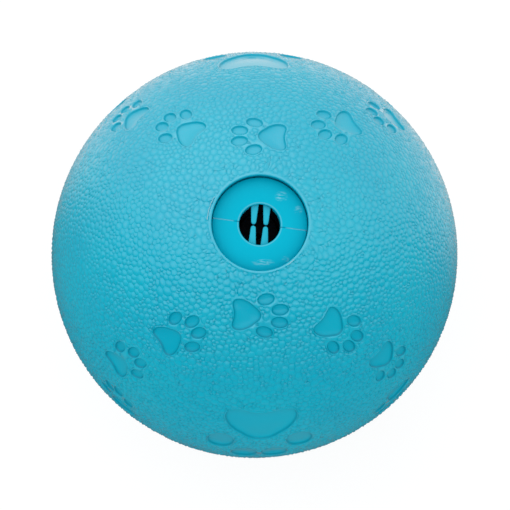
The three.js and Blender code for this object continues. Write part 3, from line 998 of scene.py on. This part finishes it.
def tongue(name, side, turn, material):
    """One finger with rounded edges and a round tip, bending with its own body."""
    middle = side * TONGUE_SPACING / 2
    sections = [(y, rounded_section(*halves)) for y, *halves in tongue_sections()]
    points = [(middle + x, y, TONGUE_HEIGHT + z) for y, section in sections for x, z in section]
    points = np.array(points) @ turn_z(HOUSING_TURN + TONGUE_LEAN + turn).T
    faces = tube_faces(len(sections), len(sections[0][1]))
    piece = make_piece(name + "_skin", points, faces, material)
    smooth_by_angle(piece, TONGUE_CREASE)
    dress(piece, name, name)


# Squeaker


def dress_squeaker():
    """The squeaker keeps its solids and gets finished materials."""
    plastic = dusty_material("squeaker_plastic", SQUEAKER_COLOUR, roughness=0.5)
    film = dusty_material("reed_film", REED_COLOUR, roughness=0.2)
    for node, material in (
        ("squeaker_case", plastic),
        ("reed_block", plastic),
        ("reed_clamp", plastic),
        ("reed", film),
    ):
        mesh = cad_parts[node].data
        mesh.materials.clear()
        mesh.materials.append(material)


# Stage, light and camera


def grey(level):
    return (level, level, level, 1)


def floor_material():
    """A pale floor that mirrors as part of the tent, and shows as white with a faint shadow."""
    material = bpy.data.materials.new("floor")
    shading = Shading(material)
    shading.nodes.remove(shading.nodes["Principled BSDF"])
    position = shading.add("ShaderNodeNewGeometry").outputs["Position"]
    axes = shading.add("ShaderNodeSeparateXYZ", position).outputs
    shift = shading.calculate("MAXIMUM", shading.calculate("MULTIPLY", axes["X"], FLOOR_SLANT), 0)
    along = shading.calculate("SUBTRACT", axes["Y"], shift)
    tent = shading.add("ShaderNodeEmission", Strength=shading.spread(along, FLOOR_FADE, FLOOR_LEVELS))
    shadow = shading.add("ShaderNodeBsdfDiffuse", Color=grey(SHADOW_GREY))
    lift = shading.add("ShaderNodeEmission", Strength=SHADOW_LIFT)
    white = shading.add("ShaderNodeAddShader", shadow.outputs[0], lift.outputs[0])
    surface = shading.add("ShaderNodeBsdfDiffuse", Color=grey(FLOOR_GREY))
    path = shading.add("ShaderNodeLightPath").outputs
    shaders = {"Is Glossy Ray": tent, "Is Transmission Ray": white, "Is Camera Ray": white}
    for ray, shader in shaders.items():
        surface = shading.add("ShaderNodeMixShader", path[ray], surface.outputs[0], shader.outputs[0])
    shading.feed(shading.nodes["Material Output"].inputs["Surface"], surface.outputs[0])
    return material


def add_floor():
    """A wide floor at the dressed ball's lowest point."""
    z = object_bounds()[0].z
    half = FLOOR_HALF
    corners = [(-half, -half, z), (half, -half, z), (half, half, z), (-half, half, z)]
    mesh = bpy.data.meshes.new("floor")
    mesh.from_pydata(corners, [], [(0, 1, 2, 3)])
    mesh.materials.append(floor_material())
    new_object("floor", mesh)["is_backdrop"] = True


def towards(shading, direction, edge, levels):
    """A level that fades from one side of the sky to the other, with the edge given as cosines."""
    sight = shading.add("ShaderNodeTexCoord").outputs["Generated"]
    cosine = shading.vector_math("DOT_PRODUCT", sight, direction)["Value"]
    return shading.spread(cosine, edge, levels)


def set_world():
    """Soft light from the front, a light tent in the reflections, and white behind the ball."""
    world = bpy.data.worlds.new("studio")
    bpy.context.scene.world = world
    world.cycles.sampling_method = "NONE"
    shading = Shading(world)
    strength = towards(shading, FRONT_DIRECTION, (-1, 1), FRONT_LEVELS)
    tent = towards(shading, TENT_DIRECTION, TENT_EDGE, TENT_LEVELS)
    path = shading.add("ShaderNodeLightPath").outputs
    levels = {"Is Glossy Ray": tent, "Is Transmission Ray": 1.0, "Is Camera Ray": 1.0}
    for ray, level in levels.items():
        strength = shading.add("ShaderNodeMix", Factor=path[ray], A=strength, B=level).outputs["Result"]
    background = shading.nodes["Background"]
    shading.feed(background.inputs["Color"], grey(1))
    shading.feed(background.inputs["Strength"], strength)


def add_softbox(name, direction, distance, size, watts):
    """A wide area lamp that faces the ball."""
    lamp = bpy.data.lights.new(name, "AREA")
    lamp.size = size
    lamp.energy = watts
    spot = new_object(name, lamp)
    aim = Vector(direction).normalized()
    spot.location = aim * distance
    spot.rotation_euler = aim.to_track_quat("Z", "Y").to_euler()


def add_camera():
    """The photograph's view, with +Y up in the image."""
    data = bpy.data.cameras.new("camera")
    camera = new_object("camera", data)
    half_angle_tangent = BALL_RADIUS / math.sqrt(CAMERA_DISTANCE**2 - BALL_RADIUS**2)
    focal_px = BALL_RADIUS_PX / half_angle_tangent
    data.sensor_width = SENSOR
    data.lens = focal_px * SENSOR / IMAGE_SIZE
    data.clip_start, data.clip_end = (distance * MM for distance in CAMERA_CLIP)
    eye = Vector(CAMERA_DIRECTION).normalized() * CAMERA_DISTANCE * MM
    back = eye.normalized()
    right = Vector((0, 1, 0)).cross(back).normalized()
    up = back.cross(right)
    mm_per_px = CAMERA_DISTANCE / focal_px
    shift = right * (IMAGE_SIZE / 2 - BALL_CENTRE_PX[0]) + up * (BALL_CENTRE_PX[1] - IMAGE_SIZE / 2)
    axes = Matrix((right, up, back)).transposed().to_4x4()
    camera.matrix_world = Matrix.Translation(eye + shift * mm_per_px * MM) @ axes
    bpy.context.scene.camera = camera


def set_stage():
    bpy.context.scene.view_settings.view_transform = "Standard"
    add_camera()
    add_floor()
    set_world()
    add_softbox("key_softbox", KEY_DIRECTION, KEY_DISTANCE, KEY_SIZE, KEY_WATTS)


def build():
    ball_skin(rubber_material())
    lip_flash(moulded_material("flash_rubber", FLASH_COLOURS, roughness=0.4))
    face = moulded_material("housing_plastic", FACE_COLOURS, roughness=0.36, pale_marks=True)
    housing_half("housing_upper_half", 0, face)
    housing_half("housing_lower_half", 180, face)
    fingers = moulded_material("tongue_plastic", TONGUE_COLOURS, roughness=0.3)
    tongue("upper_left_tongue", -1, 0, fingers)
    tongue("upper_right_tongue", 1, 0, fingers)
    tongue("lower_right_tongue", -1, 180, fingers)
    tongue("lower_left_tongue", 1, 180, fingers)
    dress_squeaker()
    set_stage()


build()
boxes = {"cad": cad_box, "visual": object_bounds()}
{name: [list(corner) for corner in box] for name, box in boxes.items()}
